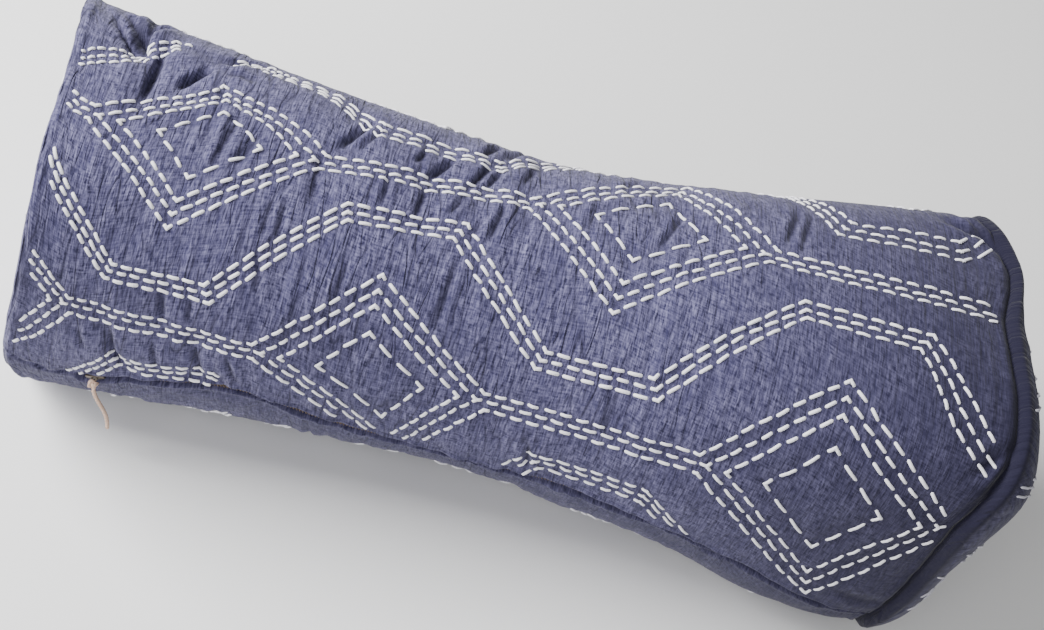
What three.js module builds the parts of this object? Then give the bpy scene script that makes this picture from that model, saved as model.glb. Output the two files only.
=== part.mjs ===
// A filled neck bolster in a quilted-looking cotton cover: waisted, with squarish ends.
// It lies on a level surface at z = 0. Millimetres, +Z up, +X along the pillow,
// -Y is the front, where the zip is. The origin is below the middle of the pillow.
import * as THREE from 'three';
import { mergeVertices } from 'three/addons/utils/BufferGeometryUtils.js';

// Cover, seam to seam. seamMiddle puts the origin below the middle of the whole box.
const seamSpan = 412;
const seamMiddle = -8;
const waistSide = 148;
const leftSide = 156;
const rightSide = 169;
const widthFactor = 1.01;
const waistSoftness = 0.15;
const waistSquareness = 2.05;
const leftSquareness = 2.7;
const rightSquareness = 3.4;
const restSink = 3.3;

// Ends
const leftRise = 6;
const rightRise = 30;
const panelThickness = 1.5;
const pieceGap = 0.3;
const panelFractions = [0.965, 0.92, 0.83, 0.7, 0.52, 0.3, 0.1];
const lipFraction = 0.985;
const domePower = 3;
const seamFade = 4;

// The left end leans: its seam is drawn in most at the turn slantTurn
const leftSlant = 12.6;
const slantTurn = 45;

// The end seams: how far each corner is pushed out or drawn in
const leftCorners = [
  { turn: -45, width: 30, reach: 4.3 },
];
const rightCorners = [
  { turn: 45, width: 26, reach: 6.1 },
  { turn: -45, width: 30, reach: -4.2 },
  { turn: 135, width: 30, reach: -1.4 },
];
const cornerFade = 5;

// Where the filling has slumped outwards, or the waist is tighter
const swells = [
  { at: 165, turn: 126, lift: 7.5, width: 48, sweep: 30 },
  { at: -30, turn: 126, lift: -3.5, width: 80, sweep: 30 },
];

// Zip: a shallow channel in the front with its tape laid in it
const zipTurn = 100;
const zipStart = -168;
const zipEnd = 111;
const grooveDepth = 2.6;
const grooveFloorTurn = 1.5;
const grooveLipTurn = 2.9;
const tapeTurn = 1.2;
const tapeThickness = 0.9;

// How the long seam strays up and down the front as it runs along
const seamStrays = [
  { at: -178, width: 30, turn: 10 },
  { at: -96, width: 28, turn: -7 },
  { at: 46, width: 20, turn: -3 },
  { at: 212, width: 90, turn: 17 },
];
const strayReach = 32;

// Slider and its lace
const sliderX = -161;
const sliderLength = 9;
const sliderWidth = 3.4;
const sliderThickness = 2.2;
const sliderTaper = 1;
const sliderNose = 2;
const laceDiameter = 2;
const laceSteps = 16;
const laceSides = 8;
const knotRadius = 2.6;
const knotWidth = 4.6;
const knotLength = 5.6;

// Mesh steps along the pillow and round it
const stationCount = 64;
const turnStep = 7.5;

// Soft creases across the pillow. at is along the pillow; turn goes round it in degrees,
// from the top towards the front; lean slides the crease along as it goes round.
const creases = [
  { at: -184, turn: -24, lean: 0.9, depth: 3.6, width: 5.5, sweep: 10 },
  { at: -167, turn: -9, lean: -0.05, depth: 3.0, width: 6, sweep: 16 },
  { at: -151, turn: -13, lean: -0.5, depth: 2.6, width: 6, sweep: 13 },
  { at: -81, turn: -10, lean: -0.1, depth: 2.6, width: 8, sweep: 24 },
  { at: -40, turn: -6, lean: -0.1, depth: 2.8, width: 8, sweep: 24 },
  { at: -17, turn: -14, lean: -0.15, depth: 2.4, width: 7, sweep: 22 },
  { at: 4, turn: -20, lean: -0.2, depth: 2.0, width: 7, sweep: 20 },
  { at: 62, turn: -8, lean: -0.1, depth: 1.8, width: 8, sweep: 22 },
  { at: -154, turn: 88, lean: 0.5, depth: 2.4, width: 6, sweep: 14 },
  { at: -136, turn: 68, lean: 0.2, depth: 2.0, width: 7, sweep: 14 },
  { at: -119, turn: 78, lean: 0.2, depth: 2.2, width: 7, sweep: 18 },
  { at: 30, turn: 122, lean: 0.2, depth: 2.2, width: 9, sweep: 16 },
  { at: -150, turn: 262, lean: 0.3, depth: 2.6, width: 9, sweep: 26 },
  { at: -40, turn: 270, lean: -0.2, depth: 2.8, width: 9, sweep: 28 },
  { at: 22, turn: 284, lean: 0.24, depth: 2.4, width: 9, sweep: 24 },
  { at: 120, turn: 276, lean: -0.26, depth: 2.2, width: 9, sweep: 24 },
];

// The dent beside the left end's top corner
const dent = { at: -181, turn: -23, depth: 6, width: 10, sweep: 9 };

const half = seamSpan / 2;
const rad = THREE.MathUtils.degToRad;
const mix = THREE.MathUtils.lerp;

function bell(distance, width) {
  return Math.exp(-((distance / width) ** 2));
}

function turnBetween(a, b) {
  return THREE.MathUtils.euclideanModulo(a - b + 180, 360) - 180;
}

function sideAt(t) {
  const end = t < 0 ? leftSide : rightSide;
  const softened = (value) => Math.hypot(value, waistSoftness) - waistSoftness;
  return mix(waistSide, end, softened(t) / softened(1));
}

function squarenessAt(t) {
  return mix(waistSquareness, t < 0 ? leftSquareness : rightSquareness, t * t);
}

// Reach of a squarish section of half side 1 in the direction turn
function sectionReach(turn, squareness) {
  const across = Math.abs(Math.sin(rad(turn))) ** squareness;
  const upright = Math.abs(Math.cos(rad(turn))) ** squareness;
  return (across + upright) ** (-1 / squareness);
}

function creaseDepth(x, turn) {
  let depth = 0;
  for (const crease of creases) {
    const round = turnBetween(turn, crease.turn);
    const along = x - crease.at - crease.lean * round;
    depth += crease.depth * bell(along, crease.width) * bell(round, crease.sweep);
  }
  const round = turnBetween(turn, dent.turn);
  return depth + dent.depth * bell(x - dent.at, dent.width) * bell(round, dent.sweep);
}

function swellLift(x, turn) {
  let lift = 0;
  for (const swell of swells) {
    lift += swell.lift * bell(x - swell.at, swell.width) * bell(turnBetween(turn, swell.turn), swell.sweep);
  }
  return lift;
}

// The channel is cut only under the zip, between its two lips
function inGroove(x, seamTurn) {
  const offset = Math.abs(turnBetween(seamTurn, zipTurn));
  return x > zipStart - 1 && x < zipEnd + 1 && offset <= grooveFloorTurn + 0.01;
}

// Turns near the long seam follow it as it strays
function strayed(x, seamTurn) {
  let stray = 0;
  for (const part of seamStrays) stray += part.turn * bell(x - part.at, part.width);
  return seamTurn + stray * bell(turnBetween(seamTurn, zipTurn), strayReach);
}

// How far the left end's lean moves a point along the pillow
function slantAt(t, turn) {
  if (t >= 0) return 0;
  return leftSlant * Math.cos(rad(turn - slantTurn)) * Math.abs(t) ** cornerFade;
}

// How far an end seam's corners move a point along the pillow
function cornerAt(t, turn) {
  let reach = 0;
  for (const corner of t < 0 ? leftCorners : rightCorners) {
    reach += corner.reach * bell(turnBetween(turn, corner.turn), corner.width);
  }
  return Math.sign(t) * reach * Math.abs(t) ** cornerFade;
}

// A point of the cover's surface, lift outside it
function coverPoint(t, seamTurn, lift = 0) {
  const side = sideAt(t) / 2;
  const station = t * half;
  const turn = strayed(station, seamTurn);
  const x = seamMiddle + station + slantAt(t, turn) + cornerAt(t, turn);
  let reach = side * sectionReach(turn, squarenessAt(t)) + swellLift(station, turn);
  reach -= creaseDepth(station, turn);
  if (inGroove(station, seamTurn)) reach -= grooveDepth;
  reach += lift;
  const y = -reach * Math.sin(rad(turn)) * widthFactor;
  const z = side - restSink + reach * Math.cos(rad(turn));
  return new THREE.Vector3(x, y, Math.max(z, 0));
}

// The angles round a ring: even steps, with finer ones at the zip's channel
function ringTurns() {
  const turns = [];
  for (let turn = 0; turn < 360; turn += turnStep) {
    if (Math.abs(turn - zipTurn) > grooveLipTurn + 1) turns.push(turn);
  }
  for (const offset of [-grooveLipTurn, -grooveFloorTurn, grooveFloorTurn, grooveLipTurn]) {
    turns.push(zipTurn + offset);
  }
  return turns.sort((a, b) => a - b);
}

// Skin over a list of closed rings, each with the same number of points, capped at both ends
function skinOver(rings) {
  const count = rings[0].length;
  const last = rings.length - 1;
  const positions = rings.flat().flatMap((p) => [p.x, p.y, p.z]);
  const index = [];
  for (let i = 0; i < last; i += 1) {
    for (let j = 0; j < count; j += 1) {
      const a = i * count + j;
      const b = i * count + ((j + 1) % count);
      const c = a + count;
      const d = b + count;
      index.push(a, c, b, b, c, d);
    }
  }
  for (const ring of [0, last]) {
    const centre = rings[ring].reduce((sum, p) => sum.add(p), new THREE.Vector3()).divideScalar(count);
    const hub = positions.length / 3;
    positions.push(centre.x, centre.y, centre.z);
    for (let j = 0; j < count; j += 1) {
      const a = ring * count + j;
      const b = ring * count + ((j + 1) % count);
      if (ring === 0) index.push(hub, a, b);
      else index.push(hub, b, a);
    }
  }
  const geometry = new THREE.BufferGeometry();
  geometry.setAttribute('position', new THREE.Float32BufferAttribute(positions, 3));
  geometry.setIndex(index);
  return facingOut(mergeVertices(geometry, 1e-4));
}

// Turns the faces round where a skin encloses a negative volume
function facingOut(geometry) {
  const p = geometry.attributes.position;
  const order = geometry.index.array;
  const [a, b, c] = [new THREE.Vector3(), new THREE.Vector3(), new THREE.Vector3()];
  let volume = 0;
  for (let i = 0; i < order.length; i += 3) {
    a.fromBufferAttribute(p, order[i]);
    b.fromBufferAttribute(p, order[i + 1]);
    c.fromBufferAttribute(p, order[i + 2]);
    volume += a.dot(b.cross(c));
  }
  if (volume < 0) {
    for (let i = 0; i < order.length; i += 3) {
      [order[i + 1], order[i + 2]] = [order[i + 2], order[i + 1]];
    }
  }
  geometry.computeVertexNormals();
  return geometry;
}

// How far an end stands out past its seam, at a fraction of the section's reach
function rise(end, fraction) {
  const height = end < 0 ? leftRise : rightRise;
  return height * Math.sqrt(Math.max(0, 1 - fraction ** domePower));
}

// One ring of an end, at a fraction of the section, sunk below the outer cloth by depth
function endRing(end, fraction, depth, turns) {
  return turns.map((seamTurn) => {
    const rim = coverPoint(end, seamTurn);
    const turn = strayed(end * half, seamTurn);
    const middle = sideAt(end) / 2 - restSink;
    const lean = slantAt(end, turn) * fraction + cornerAt(end, turn) * fraction ** seamFade;
    const x = seamMiddle + end * (half + rise(end, fraction) - depth) + lean;
    return new THREE.Vector3(x, rim.y * fraction, middle + (rim.z - middle) * fraction);
  });
}

function coverBody() {
  const turns = ringTurns();
  const rings = [];
  const sunk = panelThickness + pieceGap;
  const fractions = [lipFraction, ...panelFractions];
  for (const fraction of [...fractions].reverse()) rings.push(endRing(-1, fraction, sunk, turns));
  for (let i = 0; i <= stationCount; i += 1) {
    const t = -1 + (2 * i) / stationCount;
    rings.push(turns.map((turn) => coverPoint(t, turn)));
  }
  for (const fraction of fractions) rings.push(endRing(1, fraction, sunk, turns));
  return skinOver(rings);
}

function endPanel(end) {
  const turns = ringTurns();
  const outer = [];
  const inner = [];
  for (const fraction of panelFractions) {
    outer.push(endRing(end, fraction, 0, turns));
    inner.unshift(endRing(end, fraction, panelThickness, turns));
  }
  return skinOver([...inner, ...outer]);
}

function zipTape() {
  const rings = [];
  for (let i = 0; i <= stationCount; i += 1) {
    const t = -1 + (2 * i) / stationCount;
    const x = t * half;
    if (x < zipStart || x > zipEnd) continue;
    const low = coverPoint(t, zipTurn + tapeTurn, pieceGap);
    const high = coverPoint(t, zipTurn - tapeTurn, pieceGap);
    const highOut = coverPoint(t, zipTurn - tapeTurn, pieceGap + tapeThickness);
    const lowOut = coverPoint(t, zipTurn + tapeTurn, pieceGap + tapeThickness);
    rings.push([low, high, highOut, lowOut]);
  }
  return skinOver(rings);
}

const material = (color, roughness, metalness = 0) =>
  new THREE.MeshStandardMaterial({ color, roughness, metalness });

const coverCloth = material(0x5c5f86, 0.9);
const panelCloth = material(0x4c4f72, 0.9);
const tapeCloth = material(0x4a4238, 0.85);
const sliderMetal = material(0x6a6258, 0.45, 0.9);
const laceCotton = material(0xc09a78, 0.85);

const pillow = new THREE.Group();

function add(name, geometry, look) {
  const mesh = new THREE.Mesh(geometry, look);
  mesh.name = name;
  pillow.add(mesh);
  return mesh;
}

add('cover_body', coverBody(), coverCloth);
add('end_panel_left', endPanel(-1), panelCloth);
add('end_panel_right', endPanel(1), panelCloth);
add('zip_tape', zipTape(), tapeCloth);

// Slider: a small block lying on the tape, turned to the cloth's slope there
function zipSlider() {
  const slope = strayed(sliderX, zipTurn);
  const seat = coverPoint(sliderX / half, zipTurn, 2 * pieceGap + tapeThickness);
  const [w, l] = [sliderWidth / 2, sliderLength / 2];
  const narrow = w - sliderTaper;
  const outline = [
    [-l, -narrow], [sliderNose - l, -w], [l - sliderNose, -w], [l, -narrow],
    [l, narrow], [l - sliderNose, w], [sliderNose - l, w], [-l, narrow],
  ];
  const shape = new THREE.Shape(outline.map(([x, y]) => new THREE.Vector2(x, y)));
  const block = new THREE.ExtrudeGeometry(shape, { depth: sliderThickness, bevelEnabled: false });
  const mesh = add('zip_slider', block, sliderMetal);
  const outward = new THREE.Vector3(0, -Math.sin(rad(slope)), Math.cos(rad(slope)));
  const ahead = coverPoint(sliderX / half + 0.01, zipTurn);
  const along = ahead.sub(coverPoint(sliderX / half - 0.01, zipTurn)).normalize();
  const upward = new THREE.Vector3().crossVectors(outward, along).normalize();
  const forward = new THREE.Vector3().crossVectors(along, upward).normalize();
  mesh.quaternion.setFromRotationMatrix(new THREE.Matrix4().makeBasis(along, upward, forward));
  mesh.position.copy(seat);
  return { seat, forward };
}

const { seat, forward } = zipSlider();

// Knot of the lace, against the slider's face, and the lace hanging from it
const knotCentre = seat.clone().addScaledVector(forward, sliderThickness + pieceGap + knotRadius);
const knotShape = new THREE.SphereGeometry(knotRadius, 12, 8);
knotShape.scale(knotWidth / 2 / knotRadius, 1, knotLength / 2 / knotRadius);
const knot = add('pull_knot', mergeVertices(stripped(knotShape), 1e-4), laceCotton);
knot.position.copy(knotCentre);

function stripped(geometry) {
  geometry.deleteAttribute('normal');
  geometry.deleteAttribute('uv');
  return geometry;
}

// The lace's route below the knot: x along the pillow, y outwards, z down, from its exit
const laceRoute = [
  [0, 0, 0], [0.6, -0.2, -2.9], [1.4, -0.3, -5.8], [2.3, -0.2, -8.7], [3.2, 0.1, -11.6],
  [4.1, 0.4, -14.5], [4.9, 0.6, -17.4], [5.6, 0.7, -20.3], [6.1, 0.6, -23.3], [6.4, 0.3, -26.3],
  [6.5, 0, -29.3],
].map(([x, y, z]) => new THREE.Vector3(x, y, z));

const laceExit = knotCentre.clone().add(new THREE.Vector3(0, 0, -knotLength / 2 - pieceGap));
const lacePath = new THREE.CatmullRomCurve3(laceRoute.map((p) => p.clone().add(laceExit)));
const laceSection = new THREE.Shape(
  Array.from({ length: laceSides }, (_, i) => {
    const angle = (i / laceSides) * 2 * Math.PI;
    return new THREE.Vector2(Math.cos(angle), Math.sin(angle)).multiplyScalar(laceDiameter / 2);
  }),
);
const lace = new THREE.ExtrudeGeometry(laceSection, { steps: laceSteps, extrudePath: lacePath });
add('pull_cord', lace, laceCotton);

export default pillow;
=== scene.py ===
import math

import bpy
import numpy as np
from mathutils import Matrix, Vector
from mathutils.bvhtree import BVHTree


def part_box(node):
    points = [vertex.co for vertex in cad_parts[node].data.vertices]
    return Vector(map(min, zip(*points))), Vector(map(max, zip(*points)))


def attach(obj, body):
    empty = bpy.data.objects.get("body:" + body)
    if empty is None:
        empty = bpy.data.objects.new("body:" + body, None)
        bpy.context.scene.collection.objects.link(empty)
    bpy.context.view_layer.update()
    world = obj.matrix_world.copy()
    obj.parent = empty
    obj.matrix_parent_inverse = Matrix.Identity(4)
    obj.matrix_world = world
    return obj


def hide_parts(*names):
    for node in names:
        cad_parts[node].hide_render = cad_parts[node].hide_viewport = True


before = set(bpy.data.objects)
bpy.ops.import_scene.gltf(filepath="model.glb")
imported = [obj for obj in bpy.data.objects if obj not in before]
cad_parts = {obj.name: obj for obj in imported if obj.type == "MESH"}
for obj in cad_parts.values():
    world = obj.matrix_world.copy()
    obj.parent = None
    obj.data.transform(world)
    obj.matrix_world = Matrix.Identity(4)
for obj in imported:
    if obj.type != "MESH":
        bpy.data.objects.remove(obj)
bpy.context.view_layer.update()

# Driving sizes of the cover, in metres and degrees, as in the CAD
seam_span = 0.412
seam_middle = -0.008
waist_side = 0.148
left_side = 0.156
right_side = 0.169
width_factor = 1.01
waist_softness = 0.15
waist_squareness = 2.05
left_squareness = 2.7
right_squareness = 3.4
rest_sink = 0.0033
right_rise = 0.030
dome_power = 3
seam_fade = 4
left_slant = 0.0126
slant_turn = 45
corner_fade = 5
zip_turn = 100
zip_start = -0.168
zip_end = 0.111
half = seam_span / 2

# Corners of the end seams: turn round the pillow, spread in degrees, reach in metres
left_corners = [(-45, 30, 0.0043)]
right_corners = [(45, 26, 0.0061), (-45, 30, -0.0042), (135, 30, -0.0014)]

# Swells of the filling: place, turn, lift, length, spread
swells = [(0.165, 126, 0.0075, 0.048, 30), (-0.030, 126, -0.0035, 0.080, 30)]

# Strays of the long seam: place, length, turn
seam_strays = [(-0.178, 0.030, 10), (-0.096, 0.028, -7), (0.046, 0.020, -3), (0.212, 0.090, 17)]
stray_reach = 32

# Creases across the pillow: place, turn, lean in metres a degree, depth, width, spread
creases = [
    (-0.184, -24, 0.00090, 0.0036, 0.0055, 10),
    (-0.167, -9, -0.00005, 0.0030, 0.006, 16),
    (-0.151, -13, -0.00050, 0.0026, 0.006, 13),
    (-0.081, -10, -0.00010, 0.0026, 0.008, 24),
    (-0.040, -6, -0.00010, 0.0028, 0.008, 24),
    (-0.017, -14, -0.00015, 0.0024, 0.007, 22),
    (0.004, -20, -0.00020, 0.0020, 0.007, 20),
    (0.062, -8, -0.00010, 0.0018, 0.008, 22),
    (-0.154, 88, 0.00050, 0.0024, 0.006, 14),
    (-0.136, 68, 0.00020, 0.0020, 0.007, 14),
    (-0.119, 78, 0.00020, 0.0022, 0.007, 18),
    (0.030, 122, 0.00020, 0.0022, 0.009, 16),
    (-0.150, 262, 0.00030, 0.0026, 0.009, 26),
    (-0.040, 270, -0.00020, 0.0028, 0.009, 28),
    (0.022, 284, 0.00024, 0.0024, 0.009, 24),
    (0.120, 276, -0.00026, 0.0022, 0.009, 24),
]

# The dent beside the left end's top corner: place, turn, depth, width, spread
dent = (-0.181, -23, 0.006, 0.010, 9)


def add_camera():
    """The photograph's view: from the front and above, a little towards the left end, tipped sideways."""
    azimuth = math.radians(-6.5)
    elevation = math.radians(50.6)
    roll = math.radians(20.6)
    distance = 0.688
    aim = Vector((0.006, 0, 0.0761))
    back = Vector((
        math.sin(azimuth) * math.cos(elevation),
        -math.cos(azimuth) * math.cos(elevation),
        math.sin(elevation),
    ))
    bpy.ops.object.camera_add(location=aim + back * distance)
    camera = bpy.context.object
    camera.name = "photo_camera"
    camera.rotation_euler = back.to_track_quat("Z", "Y").to_euler()
    camera.rotation_euler.rotate_axis("Z", roll)
    camera.data.sensor_width = 36
    camera.data.lens = 51.6
    camera.data.clip_start = 0.01
    bpy.context.scene.camera = camera


add_camera()


def bell(distance, width):
    return np.exp(-((distance / width) ** 2))


def turn_between(a, b):
    return (a - b + 180) % 360 - 180


def smooth(low, high, value):
    part = np.clip((value - low) / (high - low), 0, 1)
    return part * part * (3 - 2 * part)


def side_at(t):
    end = np.where(t < 0, left_side, right_side)
    softened = np.hypot(t, waist_softness) - waist_softness
    return waist_side + (end - waist_side) * softened / (math.hypot(1, waist_softness) - waist_softness)


def section_reach(turn, t):
    end = np.where(t < 0, left_squareness, right_squareness)
    squareness = waist_squareness + (end - waist_squareness) * t * t
    across = np.abs(np.sin(np.radians(turn))) ** squareness
    upright = np.abs(np.cos(np.radians(turn))) ** squareness
    return (across + upright) ** (-1 / squareness)


def strayed(x, seam_turn):
    """Turns near the long seam follow it as it strays."""
    stray = sum(turn * bell(x - at, length) for at, length, turn in seam_strays)
    return seam_turn + stray * bell(turn_between(seam_turn, zip_turn), stray_reach)


def slant_at(t, turn):
    """How far the left end's lean moves a point along the pillow."""
    lean = left_slant * np.cos(np.radians(turn - slant_turn)) * np.abs(t) ** corner_fade
    return np.where(t < 0, lean, 0)


def corner_at(t, turn):
    """How far an end seam's corners move a point along the pillow."""
    def reach(corners):
        return sum(out * bell(turn_between(turn, at), spread) for at, spread, out in corners)
    pushed = np.where(t < 0, -reach(left_corners), reach(right_corners))
    return pushed * np.abs(t) ** corner_fade


def crease_depth(x, turn):
    depth = dent[2] * bell(x - dent[0], dent[3]) * bell(turn_between(turn, dent[1]), dent[4])
    for at, at_turn, lean, deep, width, spread in creases:
        around = turn_between(turn, at_turn)
        depth = depth + deep * bell(x - at - lean * around, width) * bell(around, spread)
    return depth


def cover_points(t, seam_turn, creased=True):
    """The cover's surface: t runs from end to end, turns go round it from the top to the front."""
    side = side_at(t) / 2
    station = t * half
    turn = strayed(station, seam_turn)
    x = seam_middle + station + slant_at(t, turn) + corner_at(t, turn)
    reach = side * section_reach(turn, t)
    if creased:
        reach = reach - crease_depth(station, turn)
    for at, at_turn, lift, length, spread in swells:
        reach = reach + lift * bell(station - at, length) * bell(turn_between(turn, at_turn), spread)
    y = -reach * np.sin(np.radians(turn)) * width_factor
    z = side - rest_sink + reach * np.cos(np.radians(turn))
    return np.stack([x + 0 * z, y, np.maximum(z, 0)], axis=-1)


def unit(vectors):
    return vectors / np.maximum(np.linalg.norm(vectors, axis=-1, keepdims=True), 1e-12)


def run_along(points, axis=0):
    """Length from the first point of each line of points, the lines running along an axis."""
    steps = np.linalg.norm(np.diff(points, axis=axis), axis=-1)
    start = np.zeros_like(np.take(steps, [0], axis=axis))
    return np.concatenate([start, np.cumsum(steps, axis=axis)], axis=axis)


def mesh_object(name, points, faces):
    mesh = bpy.data.meshes.new(name)
    mesh.from_pydata(np.asarray(points).tolist(), [], faces)
    mesh.update()
    mesh.polygons.foreach_set("use_smooth", [True] * len(mesh.polygons))
    piece = bpy.data.objects.new(name, mesh)
    bpy.context.scene.collection.objects.link(piece)
    return piece


def tube_faces(rows, columns, first=0):
    """Quads of a grid whose columns close round it."""
    index = first + np.arange(rows * columns).reshape(rows, columns)
    across = np.roll(index, -1, axis=1)
    quads = np.stack([index[:-1], index[1:], across[1:], across[:-1]], axis=-1)
    return quads.reshape(-1, 4).tolist()


def fan_faces(ring, hub, flip):
    """Triangles from a closed ring of points to one hub."""
    faces = [(ring[i], ring[(i + 1) % len(ring)], hub) for i in range(len(ring))]
    return [face[::-1] for face in faces] if flip else faces


def capped_tube(name, grid, sink=0.0):
    """A closed skin over a grid of rings, with a hub in the middle of each end, sunk in by sink."""
    rows, columns = grid.shape[:2]
    inward = np.array([sink, 0, 0])
    points = np.vstack([grid.reshape(-1, 3), grid[0].mean(0) + inward, grid[-1].mean(0) - inward])
    faces = tube_faces(rows, columns)
    faces += fan_faces(list(range(columns)), rows * columns, False)
    faces += fan_faces(list(range((rows - 1) * columns, rows * columns)), rows * columns + 1, True)
    return mesh_object(name, points, faces)


def pick(piece):
    bpy.ops.object.select_all(action="DESELECT")
    bpy.context.view_layer.objects.active = piece
    piece.select_set(True)


def face_out(piece):
    """Recalculates the normals so that they point outwards."""
    pick(piece)
    bpy.ops.object.mode_set(mode="EDIT")
    bpy.ops.mesh.select_all(action="SELECT")
    bpy.ops.mesh.normals_make_consistent(inside=False)
    bpy.ops.object.mode_set(mode="OBJECT")
    piece.select_set(False)


# Pull lace: a two-ply cotton cord, its route measured from the knot, as in the CAD
piece_gap = 0.0003
lace_diameter = 0.002
lace_twist = 1 / 0.0042
ply_depth = 0.16
knot_reach = (0.00052, 0.00060, 0.00062)
knot_strand = 0.00095
knot_twist = 1 / 0.004
lace_route = [
    (0, 0, 0), (0.0006, -0.0002, -0.0029), (0.0014, -0.0003, -0.0058), (0.0023, -0.0002, -0.0087),
    (0.0032, 0.0001, -0.0116), (0.0041, 0.0004, -0.0145), (0.0049, 0.0006, -0.0174),
    (0.0056, 0.0007, -0.0203), (0.0061, 0.0006, -0.0233), (0.0064, 0.0003, -0.0263),
    (0.0065, 0, -0.0293),
]


def refined(points, count):
    """Points evenly spaced along a smooth curve through the given ones."""
    points = np.array(points, float)
    ends = np.vstack([2 * points[0] - points[1], points, 2 * points[-1] - points[-2]])
    fine = []
    for i in range(len(points) - 1):
        a, b, c, d = ends[i:i + 4]
        f = np.linspace(0, 1, 24, endpoint=False)[:, None]
        fine.append(0.5 * (2 * b + (c - a) * f + (2 * a - 5 * b + 4 * c - d) * f ** 2
                           + (3 * b - a - 3 * c + d) * f ** 3))
    fine = np.vstack(fine + [points[-1:]])
    run = run_along(fine)
    even = np.linspace(0, run[-1], count)
    return np.stack([np.interp(even, run, fine[:, k]) for k in range(3)], axis=1)


def frames_along(path):
    """Two directions across a path at each of its points, carried along it without twisting."""
    ahead = unit(np.gradient(path, axis=0))
    side = np.cross(ahead[0], (0, 1, 0))
    sides = []
    for direction in ahead:
        side = unit(side - direction * side.dot(direction))
        sides.append(side)
    sides = np.array(sides)
    return sides, np.cross(ahead, sides)


def twisted_strand(path, radius, plies, twist, around=12, rounded=True):
    """Rings of a plied strand round a path."""
    sides, ups = frames_along(path)
    run = run_along(path)
    angle = np.arange(around) * 2 * math.pi / around
    phase = angle[None, :] - run[:, None] * twist * 2 * math.pi
    reach = radius * (1 - ply_depth + ply_depth * np.cos(plies * phase))
    if rounded:
        from_end = np.minimum(run, run[-1] - run)[:, None]
        reach = reach * np.sqrt(np.clip(0.15 + from_end / radius, 0, 1))
    across = np.cos(angle)[None, :, None] * sides[:, None] + np.sin(angle)[None, :, None] * ups[:, None]
    return path[:, None] + reach[..., None] * across


def add_lace():
    knot_low, knot_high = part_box("pull_knot")
    middle = (knot_low + knot_high) / 2
    leaving = Vector((middle.x, middle.y, knot_low.z - piece_gap))
    path = refined(lace_route, 90) + np.array(leaving)
    lace = capped_tube("pull_lace", twisted_strand(path, lace_diameter / 2, 2, lace_twist))
    face_out(lace)
    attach(lace, "root")
    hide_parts("pull_cord")
    return lace


def add_knot():
    """The lace's overhand knot, as one strand wound round itself."""
    low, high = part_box("pull_knot")
    middle = np.array((low + high) / 2)
    t = np.linspace(0, 2 * math.pi, 121)[:-1]
    wound = np.stack([
        np.sin(t) + 2 * np.sin(2 * t),
        np.sin(3 * t) * 1.6,
        np.cos(t) - 2 * np.cos(2 * t),
    ], axis=1)
    path = middle + wound * np.array(knot_reach)
    ring = twisted_strand(path, knot_strand, 2, knot_twist, around=8, rounded=False)
    rows, columns = ring.shape[:2]
    index = np.arange(rows * columns).reshape(rows, columns)
    below = np.roll(index, -1, axis=0)
    quads = np.stack([index, below, np.roll(below, -1, 1), np.roll(index, -1, 1)], -1)
    knot = mesh_object("lace_knot", ring.reshape(-1, 3), quads.reshape(-1, 4).tolist())
    face_out(knot)
    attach(knot, "root")
    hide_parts("pull_knot")
    return knot


lace = add_lace()
knot = add_knot()


# Cover: blown up by the cloth simulation over a coarse grid
cover_rows = 97
cover_columns = 104
slack = 1.035
movement_cap = 0.006
last_frame = 20
cloth_settings = {
    "quality": 6,
    "mass": 0.25,
    "tension_stiffness": 20,
    "compression_stiffness": 20,
    "shear_stiffness": 6,
    "bending_stiffness": 0.15,
    "vertex_group_mass": "sewn",
    "use_pressure": True,
    "uniform_pressure_force": 4,
}


def puffed(grid):
    """How pressure moves the cover, with slack cloth between its sewn ends."""
    rows, columns = grid.shape[:2]
    pad = capped_tube("cover_simulated", grid)
    points = np.array([v.co for v in pad.data.vertices])
    pinned = pad.vertex_groups.new(name="sewn")
    sewn_rows = (0, 1, rows - 2, rows - 1)
    held = [i for i, point in enumerate(points)
            if i // columns in sewn_rows or i >= rows * columns or point[2] < 0.001]
    pinned.add(held, 1, "REPLACE")
    pad.shape_key_add(name="Basis")
    longer = pad.shape_key_add(name="Slack")
    for i, point in enumerate(points):
        longer.data[i].co = (point[0] * slack, point[1], point[2])
    cloth = pad.modifiers.new("puff", "CLOTH")
    for setting, value in cloth_settings.items():
        setattr(cloth.settings, setting, value)
    cloth.settings.rest_shape_key = longer
    cloth.settings.effector_weights.gravity = 0
    cloth.point_cache.frame_start = 1
    cloth.point_cache.frame_end = last_frame
    scene = bpy.context.scene
    for step in range(1, last_frame + 1):
        scene.frame_set(step)
    settled = pad.evaluated_get(bpy.context.evaluated_depsgraph_get())
    found = np.array([v.co for v in settled.data.vertices])[: rows * columns]
    moved = found.reshape(grid.shape) - grid
    scene.frame_set(1)
    bpy.data.objects.remove(pad)
    far = np.linalg.norm(moved, axis=-1, keepdims=True)
    return moved * np.minimum(1, movement_cap / np.maximum(far, 1e-9))


def cubic_weights(f):
    return [
        (1 - f) ** 3 / 6,
        (3 * f ** 3 - 6 * f ** 2 + 4) / 6,
        (-3 * f ** 3 + 3 * f ** 2 + 3 * f + 1) / 6,
        f ** 3 / 6,
    ]


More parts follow.
